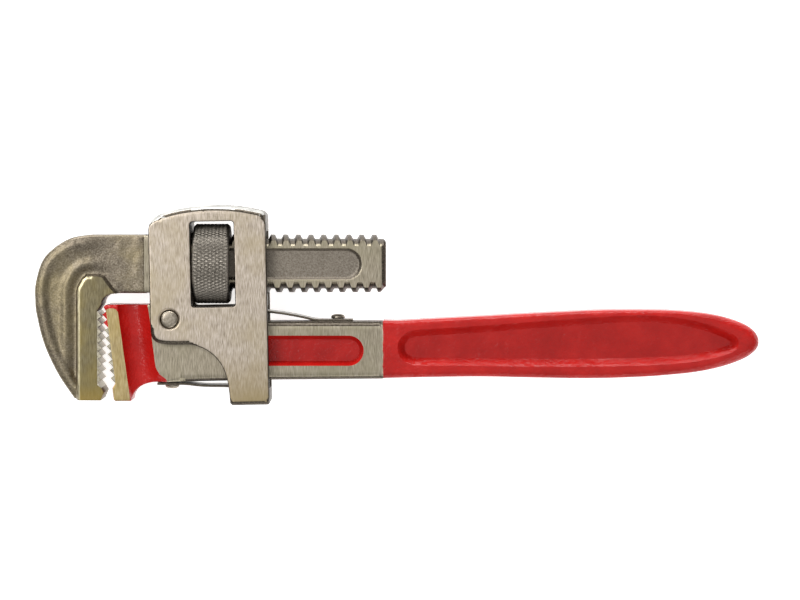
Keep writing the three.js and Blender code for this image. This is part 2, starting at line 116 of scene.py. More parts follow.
# a bare steel: shades along a grain that is stretched by the tool that made it
def steelMaterial(name, dark, middle, light, grain, streak, rough, bump, tint=None, tintShare=0.0, low=None):
    material, tree, place = newMaterial(name)
    stretched = addNode(tree, "ShaderNodeMapping", values={"Scale": streak}, links={"Vector": place})
    lines = addNode(tree, "ShaderNodeTexNoise", values={"Scale": grain, "Detail": 3.0, "Roughness": 0.6},
                    links={"Vector": stretched.outputs["Vector"]})
    drift = addNode(tree, "ShaderNodeTexNoise", values={"Scale": 55.0, "Detail": 4.0, "Roughness": 0.55},
                    links={"Vector": place})
    shades = setRamp(addNode(tree, "ShaderNodeValToRGB", links={"Fac": lines.outputs["Fac"]}),
                     [(0.28, dark), (0.5, middle), (0.74, light)])
    colour = shades.outputs["Color"]
    if tint:
        spread = addNode(tree, "ShaderNodeMapRange",
                         values={"From Min": 0.42, "From Max": 0.68, "To Max": tintShare},
                         links={"Value": drift.outputs["Fac"]})
        colour = mixColours(tree, spread.outputs["Result"], colour, hexColour(tint))
    if low:  # towards -y the colour runs into a second one: where that starts and ends, its colour and its share
        start, end, brown, share = low
        across = addNode(tree, "ShaderNodeSeparateXYZ", links={"Vector": place}).outputs["Y"]
        lowShift = addNode(tree, "ShaderNodeMapRange", links={"Value": across},
                       values={"From Min": start, "From Max": end, "To Max": share})
        colour = mixColours(tree, lowShift.outputs["Result"], colour, hexColour(brown))
    roughness = addNode(tree, "ShaderNodeMapRange",
                        values={"From Min": 0.3, "From Max": 0.7,
                                "To Min": rough - 0.07, "To Max": rough + 0.08},
                        links={"Value": lines.outputs["Fac"]})
    height = addNode(tree, "ShaderNodeBump", values={"Strength": bump, "Distance": 0.0001},
                     links={"Height": lines.outputs["Fac"]})
    finishShader(tree, {"Metallic": 1.0}, {"Base Color": colour, "Roughness": roughness.outputs["Result"],
                                           "Normal": height.outputs["Normal"]})
    return material


# a smooth line through points
def curveThrough(points, perSpan, closed=False):
    given = np.array(points, dtype=float)
    count = len(given)
    found = []
    for i in range(count if closed else count - 1):
        before = given[(i - 1) % count] if closed or i else given[0]
        first, second = given[i], given[(i + 1) % count]
        after = given[(i + 2) % count] if closed or i + 2 < count else given[-1]
        for t in np.linspace(0, 1, perSpan, endpoint=False):
            found.append(0.5 * (2 * first + (second - before) * t
                                + (2 * before - 5 * first + 4 * second - after) * t * t
                                + (3 * first - before - 3 * second + after) * t ** 3))
    if not closed:
        found.append(given[-1])
    return np.array(found)


def arcPoints(centre, radius, start, end, count):
    angles = np.radians(np.linspace(start, end, count + 1))
    return np.stack([centre[0] + radius * np.cos(angles), centre[1] + radius * np.sin(angles)], axis=1)


# a line cut into pieces no longer than a step
def resample(points, step, closed=True):
    points = np.asarray(points, dtype=float)
    following = np.roll(points, -1, axis=0) if closed else points[1:]
    found = []
    for first, second in zip(points, following):
        pieces = max(1, int(math.ceil(np.hypot(*(second - first)) / step)))
        for k in range(pieces):
            found.append(first + (second - first) * k / pieces)
    if not closed:
        found.append(points[-1])
    return np.array(found)


def distanceTo(points, line, closed=True):
    line = np.asarray(line, dtype=float)
    starts = line if closed else line[:-1]
    ends = np.roll(line, -1, axis=0) if closed else line[1:]
    along = ends - starts
    long = np.maximum((along ** 2).sum(axis=1), 1e-12)
    found = np.empty(len(points))
    for low in range(0, len(points), 2000):
        part = points[low:low + 2000]
        apart = part[:, None, :] - starts[None]
        share = np.clip((apart * along[None]).sum(axis=2) / long, 0, 1)
        found[low:low + 2000] = np.sqrt(((apart - share[..., None] * along[None]) ** 2).sum(axis=2).min(axis=1))
    return found


def isInside(points, loop):
    loop = np.asarray(loop, dtype=float)
    x, y = points[:, 0], points[:, 1]
    inside = np.zeros(len(points), dtype=bool)
    for (x0, y0), (x1, y1) in zip(loop, np.roll(loop, -1, axis=0)):
        crosses = (y0 > y) != (y1 > y)
        if y1 != y0:
            inside ^= crosses & (x < (x1 - x0) * (y - y0) / (y1 - y0) + x0)
    return inside


# distance to a closed line, negative inside it
def signedTo(points, loop):
    found = distanceTo(points, loop)
    return np.where(isInside(points, loop), -found, found)


def ease(t):
    t = np.clip(t, 0, 1)
    return t * t * (3 - 2 * t)


# a slope with only its two ends softened
def ramp(t, soft=0.45):
    t = np.clip(t, 0, 1)
    return (1 - soft) * t + soft * t * t * (3 - 2 * t)


# how far a rounded edge has dropped at a distance from the outline
def edgeDrop(distance, radius):
    inside = np.clip(distance / np.maximum(radius, 1e-6), 0, 1)
    return radius * (1 - np.sqrt(np.maximum(1 - (1 - inside) ** 2, 0)))


# how far an edge broken at a slant has dropped, with its corners just eased
def bevelDrop(distance, width, depth):
    return depth * ramp(1 - distance / np.maximum(width, 1e-6), 0.35)


# soft lumps of a forging, as a sum of slow waves
def lumps(points, size, seed):
    chance = np.random.RandomState(seed)
    total = np.zeros(len(points))
    for _ in range(14):
        turn = chance.uniform(0, math.tau)
        wave = math.tau / (size * chance.uniform(0.6, 1.8))
        total += np.sin((points[:, 0] * math.cos(turn) + points[:, 1] * math.sin(turn)) * wave
                        + chance.uniform(0, math.tau))
    return total / 14 ** 0.5


# directions square to a closed line, on its right
def rightOf(loop):
    side = np.roll(loop, -1, axis=0) - np.roll(loop, 1, axis=0)
    side /= np.maximum(np.hypot(side[:, 0], side[:, 1]), 1e-9)[:, None]
    return np.stack([side[:, 1], -side[:, 0]], axis=1)


def meshObject(name, points, faces, sharp=35):
    mesh = bpy.data.meshes.new(name)
    mesh.from_pydata([tuple(p) for p in points], [], faces)
    mesh.update()
    mesh.shade_smooth()
    mesh.set_sharp_from_angle(angle=math.radians(sharp))
    return addObject(name, mesh)


# a flat body, the same on both sides, whose half thickness is worked out point by point
def reliefBody(name, outline, holes, halfAt, step, edges, features, edgeStep):
    borders = [resample(loop, edgeStep) for loop in [outline] + list(holes)]
    flat = [tuple(p) for p in borders[0]]
    links = [(i, (i + 1) % len(borders[0])) for i in range(len(borders[0]))]
    for loop in borders[1:]:
        base = len(flat)
        flat += [tuple(p) for p in loop]
        links += [(base + i, base + (i + 1) % len(loop)) for i in range(len(loop))]

    def clear(points):
        apart = np.min([distanceTo(points, loop) for loop in borders], axis=0)
        good = isInside(points, borders[0])
        for loop in borders[1:]:
            good &= ~isInside(points, loop)
        return apart, good

    marks = []
    for line, isClosed in features:
        spread = resample(line, step * 0.8, isClosed)
        apart, good = clear(spread)
        keep = good & (apart > 0.12)
        number = {}
        for i, kept in enumerate(keep):
            if kept:
                number[i] = len(flat)
                flat.append(tuple(spread[i]))
        last = len(spread) if isClosed else len(spread) - 1
        for i in range(last):
            j = (i + 1) % len(spread)
            if i in number and j in number:
                links.append((number[i], number[j]))
        marks.append(spread[keep])
    marks = np.concatenate(marks) if marks else np.zeros((0, 2))

    def offMarks(points, gap):
        if not len(marks) or not len(points):
            return np.ones(len(points), dtype=bool)
        found = np.empty(len(points), dtype=bool)
        for low in range(0, len(points), 2000):
            part = points[low:low + 2000]
            near = ((part[:, None, :] - marks[None]) ** 2).sum(axis=2).min(axis=1)
            found[low:low + 2000] = near > gap * gap
        return found

    for number, loop in enumerate(borders):
        inward = rightOf(loop) * (1 if number else -1)
        for distance in edges:
            points = loop + inward * distance
            apart, good = clear(points)
            keep = good & (apart > distance * 0.9)
            points = points[keep]
            flat += [tuple(p) for p in points[offMarks(points, min(0.3, distance))]]

    low, high = borders[0].min(axis=0), borders[0].max(axis=0)
    columns = np.arange(low[0], high[0], step)
    rows = np.arange(low[1], high[1], step * 0.866)
    grid = np.array([(x + (step / 2 if k % 2 else 0), y) for k, y in enumerate(rows) for x in columns])
    apart, good = clear(grid)
    grid = grid[good & (apart > edges[-1] + step * 0.5)]
    flat += [tuple(p) for p in grid[offMarks(grid, step * 0.55)]]

    placed, _, faces, _, _, _ = delaunay_2d_cdt([Vector(p) for p in flat], links, [], 0, 1e-6)
    points = np.array([tuple(p) for p in placed])
    faces = np.array([f for f in faces if len(f) == 3])
    middles = points[faces].mean(axis=1)
    _, good = clear(middles)
    first = points[faces[:, 1]] - points[faces[:, 0]]
    second = points[faces[:, 2]] - points[faces[:, 0]]
    area = first[:, 0] * second[:, 1] - first[:, 1] * second[:, 0]
    faces = np.where((area > 0)[:, None], faces, faces[:, ::-1])[good & (abs(area) > 1e-7)]
    used = np.unique(faces)
    renumber = np.full(len(points), -1)
    renumber[used] = np.arange(len(used))
    points, faces = points[used], renumber[faces]
    apart, _ = clear(points)
    half = halfAt(points, apart)
    count = len(points)
    solid = np.concatenate([np.column_stack([points, half]), np.column_stack([points, -half])])
    allFaces = [tuple(f) for f in faces] + [tuple(f[::-1] + count) for f in faces]
    seen = {}
    for a, b, c in faces:
        for edge in ((a, b), (b, c), (c, a)):
            seen[edge] = True
    for a, b in seen:
        if (b, a) not in seen:
            allFaces.append((a, a + count, b + count, b))
    return meshObject(name, inFrame(solid), [tuple(int(i) for i in f) for f in allFaces])


# rings of points joined into a closed body, each ring a loop round the piece
def loftBody(name, rings, sharp, around=False):
    count = len(rings[0])
    points = np.concatenate(rings)
    faces = []
    last = len(rings) if around else len(rings) - 1
    for i in range(last):
        a, b = i * count, ((i + 1) % len(rings)) * count
        for j in range(count):
            k = (j + 1) % count
            faces.append((a + j, a + k, b + k, b + j))
    if not around:
        faces.append(tuple(reversed(range(count))))
        faces.append(tuple(range(last * count, (last + 1) * count)))
    return meshObject(name, inFrame(points), faces, sharp)


# a profile of radii and heights turned round an axis, its radii wandering a little on the way round
def turnedBody(name, profile, centre, axis, sides, wobble):
    rings = []
    for radius, height in profile:
        ring = []
        for j in range(sides):
            angle = math.tau * j / sides
            r = radius * (1 + wobble(angle))
            u, v = r * math.cos(angle), r * math.sin(angle)
            ring.append((u, v, height) if axis == "Z" else (v, height, u))
        rings.append(np.array(ring) + centre)
    return loftBody(name, rings, 35)


# its modifiers are worked out once and taken off
def flatten(thing):
    bpy.context.view_layer.update()
    seen = thing.evaluated_get(bpy.context.evaluated_depsgraph_get())
    mesh = bpy.data.meshes.new_from_object(seen)
    thing.modifiers.clear()
    thing.data = mesh


def boolean(thing, tool, operation):
    change = thing.modifiers.new("cut", "BOOLEAN")
    change.operation = operation
    change.solver = "EXACT"
    change.object = tool
    flatten(thing)
    bpy.data.objects.remove(tool)
    thing.data.shade_smooth()
    thing.data.set_sharp_from_angle(angle=math.radians(35))


def boxTool(low, high):
    x0, y0, z0 = low
    x1, y1, z1 = high
    corners = [(x, y, z) for x in (x0, x1) for y in (y0, y1) for z in (z0, z1)]
    faces = [(0, 1, 3, 2), (4, 6, 7, 5), (0, 4, 5, 1), (2, 3, 7, 6), (0, 2, 6, 4), (1, 5, 7, 3)]
    return meshObject("tool", inFrame(corners), faces)


def giveFinish(thing, *materials):
    thing.data.materials.clear()
    for material in materials:
        thing.data.materials.append(material)


# each rule picks faces for one of the finishes, by their middles in millimetres and their normals
def paintFaces(thing, *rules):
    mesh = thing.data
    middles = np.empty(len(mesh.polygons) * 3)
    mesh.polygons.foreach_get("center", middles)
    middles = (middles.reshape(-1, 3) - np.array(pivot)) * 1000
    normals = np.empty(len(mesh.polygons) * 3)
    mesh.polygons.foreach_get("normal", normals)
    slots = np.empty(len(mesh.polygons), dtype=np.int32)
    mesh.polygons.foreach_get("material_index", slots)
    for number, rule in rules:
        slots[rule(middles, normals.reshape(-1, 3))] = number
    mesh.polygons.foreach_set("material_index", slots)
    mesh.update()


# 1 for faces that look straight out of a flat side, 0 for walls
def flatness(normals):
    return np.abs(normals[:, 2])


# brushed enamel over a forging: glossy, a little uneven, with the forging's skin showing through
def enamelMaterial():
    material, tree, place = newMaterial("red_enamel_on_forging")
    drift = addNode(tree, "ShaderNodeTexNoise", values={"Scale": 90.0, "Detail": 4.0, "Roughness": 0.6},
                    links={"Vector": place})
    # soft ripples of about 1.6 mm, and 0.7 mm grains of the skin under them
    peel = addNode(tree, "ShaderNodeTexNoise", values={"Scale": 620.0, "Detail": 3.0, "Roughness": 0.6},
                   links={"Vector": place})
    skin = addNode(tree, "ShaderNodeTexNoise", values={"Scale": 1500.0, "Detail": 2.0},
                   links={"Vector": place})
    shades = setRamp(addNode(tree, "ShaderNodeValToRGB", links={"Fac": drift.outputs["Fac"]}),
                     [(0.3, "#9f120e"), (0.5, "#ab1511"), (0.7, "#b61c17")])
    height = addNode(tree, "ShaderNodeMath", {"operation": "MULTIPLY_ADD"}, {1: 0.35},
                     {0: skin.outputs["Fac"], 2: peel.outputs["Fac"]})
    bump = addNode(tree, "ShaderNodeBump", values={"Strength": 0.8, "Distance": 0.0004},
                   links={"Height": height.outputs["Value"]})
    finishShader(tree, {"Roughness": 0.2, "IOR": 1.5, "Specular IOR Level": 0.27},
                 {"Base Color": shades.outputs["Color"], "Normal": bump.outputs["Normal"]})
    return material


# belt-ground mild steel: a warm grey with fine lines 0.3 mm apart across the tool
groundSteel = steelMaterial("belt_ground_steel", "#887d6f", "#b3a798", "#d3c9be", 1.0, (3400, 300, 700),
                            0.42, 0.35, "#a89a7c", 0.6, low=(-0.018, -0.04, "#94835a", 0.8))
# the same grinding on the handle's flats, which are cooler and darker
groundForging = steelMaterial("belt_ground_forging", "#776f5f", "#9b9280", "#b8af9e", 1.0, (3200, 300, 700),
                              0.42, 0.35, "#8f8a70", 0.5)
# the hook's ground pad, with the straw and olive colours of tempering; the golden colour towards its tip is a
# painted reflection
temperedSteel = steelMaterial("ground_tempered_steel", "#5a5340", "#716952", "#867e65", 1.0, (2600, 300, 500),
                              0.42, 0.35, "#867745", 0.7, low=(-0.032, -0.043, "#a18638", 0.8))
# the heel's ground pad, a paler straw
heelSteel = steelMaterial("ground_tempered_heel", "#827352", "#a2916c", "#c1b391", 1.0, (2400, 300, 500),
                          0.42, 0.4, "#a8935a", 0.7)
# grit-blasted forging: an even sparkle of 0.7 mm grains
blastedSteel = steelMaterial("grit_blasted_forging", "#544b40", "#766d5f", "#9b9181", 1500.0, (1, 1, 1),
                             0.45, 1.0, "#8f835f", 0.45)
# blackened steel: dark and slightly shiny
darkSteel = steelMaterial("blackened_steel", "#625d57", "#827c73", "#9c968d", 1500.0, (1, 1, 1), 0.52, 0.4)
# as-forged skin in the grooves, dull and dark
grooveSteel = steelMaterial("forged_groove_steel", "#665f55", "#7f776c", "#979085", 1700.0, (1, 1, 1), 0.5, 0.6)
# edges and walls that no grinding wheel has touched, a dark brown grey: partly the forging's own skin, partly
# painted shade for the dark outlines along the edges
skinAndShadeSteel = steelMaterial("as_forged_skin_and_painted_shade", "#3a352e", "#554e45", "#70685d", 1500.0, (1, 1, 1), 0.4, 0.5)
# a painted highlight: the bright line along the edge of the hook's pad
padHighlightSteel = steelMaterial("painted_highlight_edge", "#a0977a", "#b5ab8c", "#c9c0a2", 1.0, (900, 400, 500),
                          0.4, 0.3)
# hammered heads of the rivets
rivetSteel = steelMaterial("hammered_rivet_steel", "#7b7264", "#958c7e", "#ada598", 1400.0, (1, 1, 1),
                           0.4, 0.5)
# rolled spring strip, pale and smooth along its length
springSteel = steelMaterial("rolled_spring_steel", "#8b8a86", "#a9a8a4", "#c4c3bf", 1.0, (160, 900, 2600),
                            0.34, 0.2)
# freshly cut teeth, the brightest steel on the tool
toothSteel = steelMaterial("cut_tooth_steel", "#8a8372", "#a9a28f", "#c6c0b0", 1.0, (900, 900, 500),
                           0.34, 0.3)
redEnamel = enamelMaterial()
print("materials made")


handle = {"half": 7.9, "webHalf": 4.6, "neckWebHalf": 4.4, "headEdge": 0.6, "neckEdge": 1.7, "gripEdge": 2.3,
          "endEdge": 4.5, "neckBevel": (2.2, 1.0), "neckCorner": (0.9, 0.9), "paint": 0.08, "paintFrom": 85.0,
          "padHalf": 9.45, "padEdge": 0.3, "padTopEdge": 1.2, "top": 5.65, "channelHalf": 4.6,
          "channelEdge": 0.7, "pocketRun": 2.9, "neckPocketRun": 1.7, "lump": 0.06, "heelSlope": 0.1245}


# the line the heel's teeth stand on, and the far side of the heel's pad
def heelLine(y):
    return -25.35 + handle["heelSlope"] * (1.7 - y)


def padSide(y):
    return -20.85 + (4 - y) * 0.1353


gripLine = curveThrough([
    (85.2, -23.95), (100, -23.6), (124, -23.3), (145, -23.7), (168, -24.0), (188.4, -23.4), (203, -22.3),
    (212.6, -21.1), (221, -19.3), (228.6, -16.7), (232.6, -14.4), (235.0, -11.9), (235.6, -9.4),
    (235.0, -6.8), (232.8, -4.2), (228.5, -1.7), (221, 0.7), (212.4, 2.2), (200, 3.2), (188.3, 3.4),
    (172, 3.3), (156, 2.6), (140, 1.8), (124, 0.9), (105, -0.1), (92, -0.85), (87, -0.8), (85.3, -0.7),
], 6)
handleOutline = np.concatenate([
    [(heelLine(-25.9), -25.9), (-23.05, -27.7), (-22.5, -32.3), (-21.9, -32.85), (-15.7, -32.85)],
    curveThrough([(-15.5, -32.2), (-14.9, -30.4), (-13.2, -28.1), (-10.4, -26.4), (-6.8, -25.6),
                  (-2, -25.45)], 4),
    [(8, -25.2), (39.5, -24.5), (84.9, -24.1)],
    gripLine,
    [(84.9, -1.15), (39.5, -1.15), (27, -1.05), (14.2, 0.5), (8, 2.1), (4, 4.2), (0, 5.4), (-4, handle["top"]),
     (-25.2, handle["top"]), (-26.1, 5.2), (-26.4, 4.6), (heelLine(3.1), 3.1)],
])
bodyFlat = curveThrough([
    (-9.2, 6.4), (-8.3, 1.0), (-7.9, -2.1), (-7.4, -7.3), (-6.5, -14.5), (-5.9, -19.1), (-5.1, -20.9),
    (-4.1, -22.4), (-2.9, -23.3), (-1.8, -24.2), (-1.0, -26.0),
], 5)
besideFlat = np.concatenate([bodyFlat, [(-1.0, -40), (-40, -40), (-40, 6.4)]])
heelPad = np.array([(-34, -34), (-16.0, -34), (padSide(-31.3), -31.3), (padSide(2.6), 2.6), (-21.4, 3.7),
                    (-22.4, 4.2), (-24.2, 4.2), (-25.4, 3.6), (-26.4, 1.6), (-34, 1.0)])
neckPocketFloor = np.concatenate([
    arcPoints((71.25, -12.8), 4.35, -90, 90, 16), arcPoints((38.35, -12.8), 4.35, 90, 270, 16)])
gripPocketFloor = curveThrough([
    (94.6, -9.2), (96.6, -7.8), (100, -7.2), (115, -6.3), (135, -4.9), (155, -3.4), (172, -2.2), (187.6, -1.5),
    (199, -2.1), (209, -3.7), (217, -6.0), (222.5, -8.3), (224.2, -9.6), (222.8, -11.0), (216, -13.0),
    (205, -14.8), (187.7, -15.8), (165, -16.3), (140, -16.2), (118, -15.9), (100, -15.8), (96.6, -15.4),
    (94.6, -14.2), (93.8, -12.6), (93.8, -10.8),
], 6, True)


# the brushed edge of the enamel wanders a little
def paintLine(y):
    return handle["paintFrom"] + 0.1 * np.sin(0.8 * y + 1.1) + 0.05 * np.sin(2.1 * y)


def handleHalf(points, apart):
    x, y = points[:, 0], points[:, 1]
    painted = ease((x - 84) / 3)
    edge = handle["neckEdge"] + (handle["gripEdge"] - handle["neckEdge"]) * painted
    edge = edge + (handle["endEdge"] - handle["gripEdge"]) * ease((x - 205) / 28)
    edge = np.where(x < 4, handle["headEdge"] + (edge - handle["headEdge"]) * ease((x + 3) / 7), edge)
    bare = bevelDrop(apart, *handle["neckBevel"]) + bevelDrop(apart, *handle["neckCorner"])
    half = handle["half"] - np.where((x > 4) & (x < 84), bare, edgeDrop(apart, edge))
    half = half + handle["paint"] * (x > paintLine(y) + 0.05)
    for floor, run, web in ((neckPocketFloor, handle["neckPocketRun"], handle["neckWebHalf"]),
                            (gripPocketFloor, handle["pocketRun"], handle["webHalf"])):
        wall = ramp(signedTo(points, floor) / run, 0.32)
        half = np.minimum(half, web + (handle["half"] + handle["paint"] - web) * wall)
    # a hollow runs down between the pad and the flat body, and the pad stands over it
    fromPad = x - padSide(y)
    fromBody = distanceTo(points, bodyFlat, False)
    share = np.clip(fromPad / np.maximum(fromPad + fromBody, 0.01), 0, 1)
    hollow = handle["channelHalf"] + (handle["half"] - handle["channelHalf"]) * (2 * share - 1) ** 2
    corner = isInside(points, besideFlat)
    hollow = hollow - edgeDrop(apart, handle["channelEdge"])
    half = np.where(corner & (fromPad > 0), np.minimum(half, hollow), half)
    pad = handle["padHalf"] - edgeDrop(apart, handle["padEdge"])
    pad = pad - edgeDrop(np.maximum(handle["top"] - y, 0), handle["padTopEdge"]) * (x < -15)
    rise = ramp(1 - fromPad / 0.6, 0.3)
    half = np.where(corner, half + (pad - half) * rise, half)
    rough = lumps(points, 9.0, 4) * handle["lump"] + lumps(points, 3.2, 5) * handle["lump"] * 0.5
    return half + np.where(x > handle["paintFrom"], rough, 0) * ease(apart / 1.2)


# grow a closed outline outwards by a distance
def grow(loop, distance):
    area = (loop[:, 0] * np.roll(loop[:, 1], -1) - loop[:, 1] * np.roll(loop[:, 0], -1)).sum()
    return loop + rightOf(loop) * distance * (1 if area > 0 else -1)


neckPocketRim = grow(neckPocketFloor, handle["neckPocketRun"])


def handleBare(middles, normals):
    flat = middles[:, :2]
    neck = (middles[:, 0] < paintLine(middles[:, 1]) - 0.04) & (signedTo(flat, neckPocketRim) > 0)
    return neck & ~isInside(flat, besideFlat)


# walls of the bare neck, and on its underside only the edge itself, painted dark as shade on the rounded edges
def neckEdgeShade(middles, normals):
    edge = (middles[:, 1] > -12) | (distanceTo(middles[:, :2], handleOutline) < 1.1)
    return handleBare(middles, normals) & (middles[:, 0] > 6) & (flatness(normals) < 0.97) & edge


def heelBare(middles, normals):
    return (signedTo(middles[:, :2], heelPad) < 0) & (flatness(normals) > 0.6) & (middles[:, 0] < -14)


handleBody = reliefBody(
    "handle_forging", handleOutline, [], handleHalf, 0.75, (0.12, 0.35, 0.7, 1.2, 1.8),
    [(gripPocketFloor, True), (grow(gripPocketFloor, handle["pocketRun"]), True),
     (grow(gripPocketFloor, handle["pocketRun"] * 0.5), True),
     (neckPocketFloor, True), (neckPocketRim, True),
     (bodyFlat, False), (heelPad, True),
     ([(padSide(y) + 0.62, y) for y in (5.6, -32.8)], False),
     ([(paintLine(y), y) for y in np.arange(-26, 1, 0.5)], False),
     ([(paintLine(y) + 0.2, y) for y in np.arange(-26, 1, 0.5)], False)],
    0.55,
)
giveFinish(handleBody, redEnamel, groundForging, heelSteel, skinAndShadeSteel)
paintFaces(handleBody, (1, handleBare), (3, neckEdgeShade), (2, heelBare))
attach(handleBody, "handle")
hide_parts("handle")
print("handle made:", len(handleBody.data.polygons), "faces")


hook = {"half": 8.0, "padHalf": 9.45, "padRun": 1.0, "rimWide": 3.0, "hollowHalf": 6.5, "hollowRun": 3.0,
        "crestRise": 0.8, "barHalf": 6.9, "edge": 1.2, "lump": 0.04, "padEdge": 0.9, "padWear": 0.33,
        "rimBevel": (2.7, 0.75)}
backLine = curveThrough([
    (-30, 33.5), (-33.5, 33.35), (-39.9, 32.1), (-46.3, 28.3), (-51.2, 22.9), (-53.9, 14.0), (-54.1, 7.5),
    (-53.6, 1.9), (-50.6, -10.2), (-45.0, -22.3), (-38.6, -31.9),
], 7)
hookOutline = np.concatenate([
    [(-36.6, -32.65), (-28.6, -32.65), (-27.7, -32.6), (-26.35, -29.4), (-27.4, -27.6), (-28.95, -26.4),
     (-28.95, 3.2), (-27.4, 5.6)],
    curveThrough([(-27.2, 6.7), (-26.6, 7.95), (-25.2, 9.2), (-23.2, 9.9), (-20.8, 10.1)], 4),
    [(-9.6, 10.1), (-9.6, 33.5)],
    backLine,
])
hookPad = np.array([
    (-36.9, -40), (-20, -40), (-20, 8), (-23.9, 12.2), (-26.9, 16.3), (-28.4, 16.9), (-33.2, 16.8),
    (-34.6, 15.7), (-36.4, 12.4), (-36.75, 10.5),
])


# a head hollowed between its rim and its pad, running down into the bar
def hookHalf(points, apart):
    x, y = points[:, 0], points[:, 1]
    fromBack = distanceTo(points, backLine, False)
    fromPad = signedTo(points, hookPad)
    head = ease((-24.0 - x) / 12)
    rim = ease(1 - (fromBack - hook["rimWide"]) / hook["hollowRun"])
    crest = hook["crestRise"] * np.exp(-((fromPad - 5.2) / 1.7) ** 2)
    valley = 0.5 * np.exp(-((fromPad - 1.6) / 1.3) ** 2)
    hollow = hook["hollowHalf"] + crest - valley + 0.9 * ease((fromPad - 6) / 8) * ease((y - 14) / 10)
    headHalf = hollow + (hook["half"] - hollow) * rim
    barHalf = hook["barHalf"] - 0.35 * ease((x + 12.5) / -3) - 0.35 * np.exp(-((fromPad - 1.8) / 2.2) ** 2)
    half = barHalf * (1 - head) + headHalf * head
    edge = np.where((x < -20) & (fromBack > 6), 0.9, hook["edge"])
    half = half - edgeDrop(apart, edge) - bevelDrop(apart, *hook["rimBevel"]) * head * rim
    half = half + (lumps(points, 5.0, 8) * hook["lump"] + lumps(points, 2.0, 9) * 0.02) * ease(apart)
    worn = bevelDrop(np.maximum(-fromPad, 0), hook["padEdge"], hook["padWear"]) * ease((-30 - x) / 2)
    top = hook["padHalf"] - edgeDrop(apart, 0.25) - worn
    side = (hook["padHalf"] - worn - half) * ramp(1 - fromPad / hook["padRun"], 0.3)
    return np.where(fromPad < 0, top, half + side)


# the head's walls, painted dark as shade along its outline
def hookWalls(middles, normals):
    return (flatness(normals) < 0.5) & (signedTo(middles[:, :2], hookPad) > 1.2)


def hookPadBare(middles, normals):
    return (signedTo(middles[:, :2], hookPad) < 0) & (flatness(normals) > 0.6)


# the pad's left and upper edge, where the bright line is a painted highlight
def hookPadHighlight(middles, normals):
    edge = np.abs(signedTo(middles[:, :2], hookPad) + 0.4) < 0.5
    return edge & (middles[:, 0] < -31) & (flatness(normals) > 0.6)


hookHead = reliefBody("hook_head", hookOutline, [], hookHalf, 0.65, (0.12, 0.35, 0.7, 1.2, 1.9, 2.7),
                      [(hookPad, True), (grow(hookPad, hook["padRun"]), True),
                       (grow(hookPad, -hook["padEdge"]), True)], 0.5)
giveFinish(hookHead, blastedSteel, temperedSteel, skinAndShadeSteel, padHighlightSteel)
paintFaces(hookHead, (2, hookWalls), (1, hookPadBare), (3, hookPadHighlight))


bar = {"axis": 21.8, "radius": 11.7, "half": 7.0, "plainEdge": 1.4, "pitch": 5.08, "depth": 1.65,
       "crestHalf": 0.75, "flank": 0.95, "crestAt": 40.8, "threadFrom": 3.5, "threadFade": 1.5,
       "grooveHalf": 5.2, "grooveFrom": 8.0, "grooveTo": 75.4, "grooveDepth": 1.6, "grooveRun": 1.2}
# the bar's far end: rounded at its sides and top, cut at a slant below
barEnd = {"sideFrom": 84.1, "sideRun": 2.2, "sideIn": 1.9, "topFrom": 83.75, "topHeight": 10.3,
          "topRadius": 2.5, "slantFrom": 83.8, "slantHeight": 11.5, "slant": 1.05}


# radius of the right-hand thread at places along the bar and angles from its top
def threadRadius(along, angle, widen=0.0):
    turn = (along - bar["crestAt"]) / bar["pitch"] - angle / math.tau
    off = np.abs(turn - np.round(turn)) * bar["pitch"]
    return bar["radius"] - bar["depth"] * ramp((off - bar["crestHalf"] - widen) / bar["flank"], 0.6)


def grooveAt(x, y):
    along = np.clip(x, bar["grooveFrom"] + bar["grooveHalf"], bar["grooveTo"] - bar["grooveHalf"])
    return bar["grooveDepth"] * (1 - ramp((np.hypot(x - along, y) - bar["grooveHalf"]) / bar["grooveRun"], 0.4))


acrossBar = np.sin(np.linspace(math.pi / 2, -math.pi / 2, 19))
grooveRows = np.array([6.4, 6.2, 5.95, 5.7, 5.45, 5.2, 4.9, 4.4, 3.8, 3.0, 2.0, 1.0, 0.0])
grooveRows = np.concatenate([grooveRows, -grooveRows[-2::-1]])


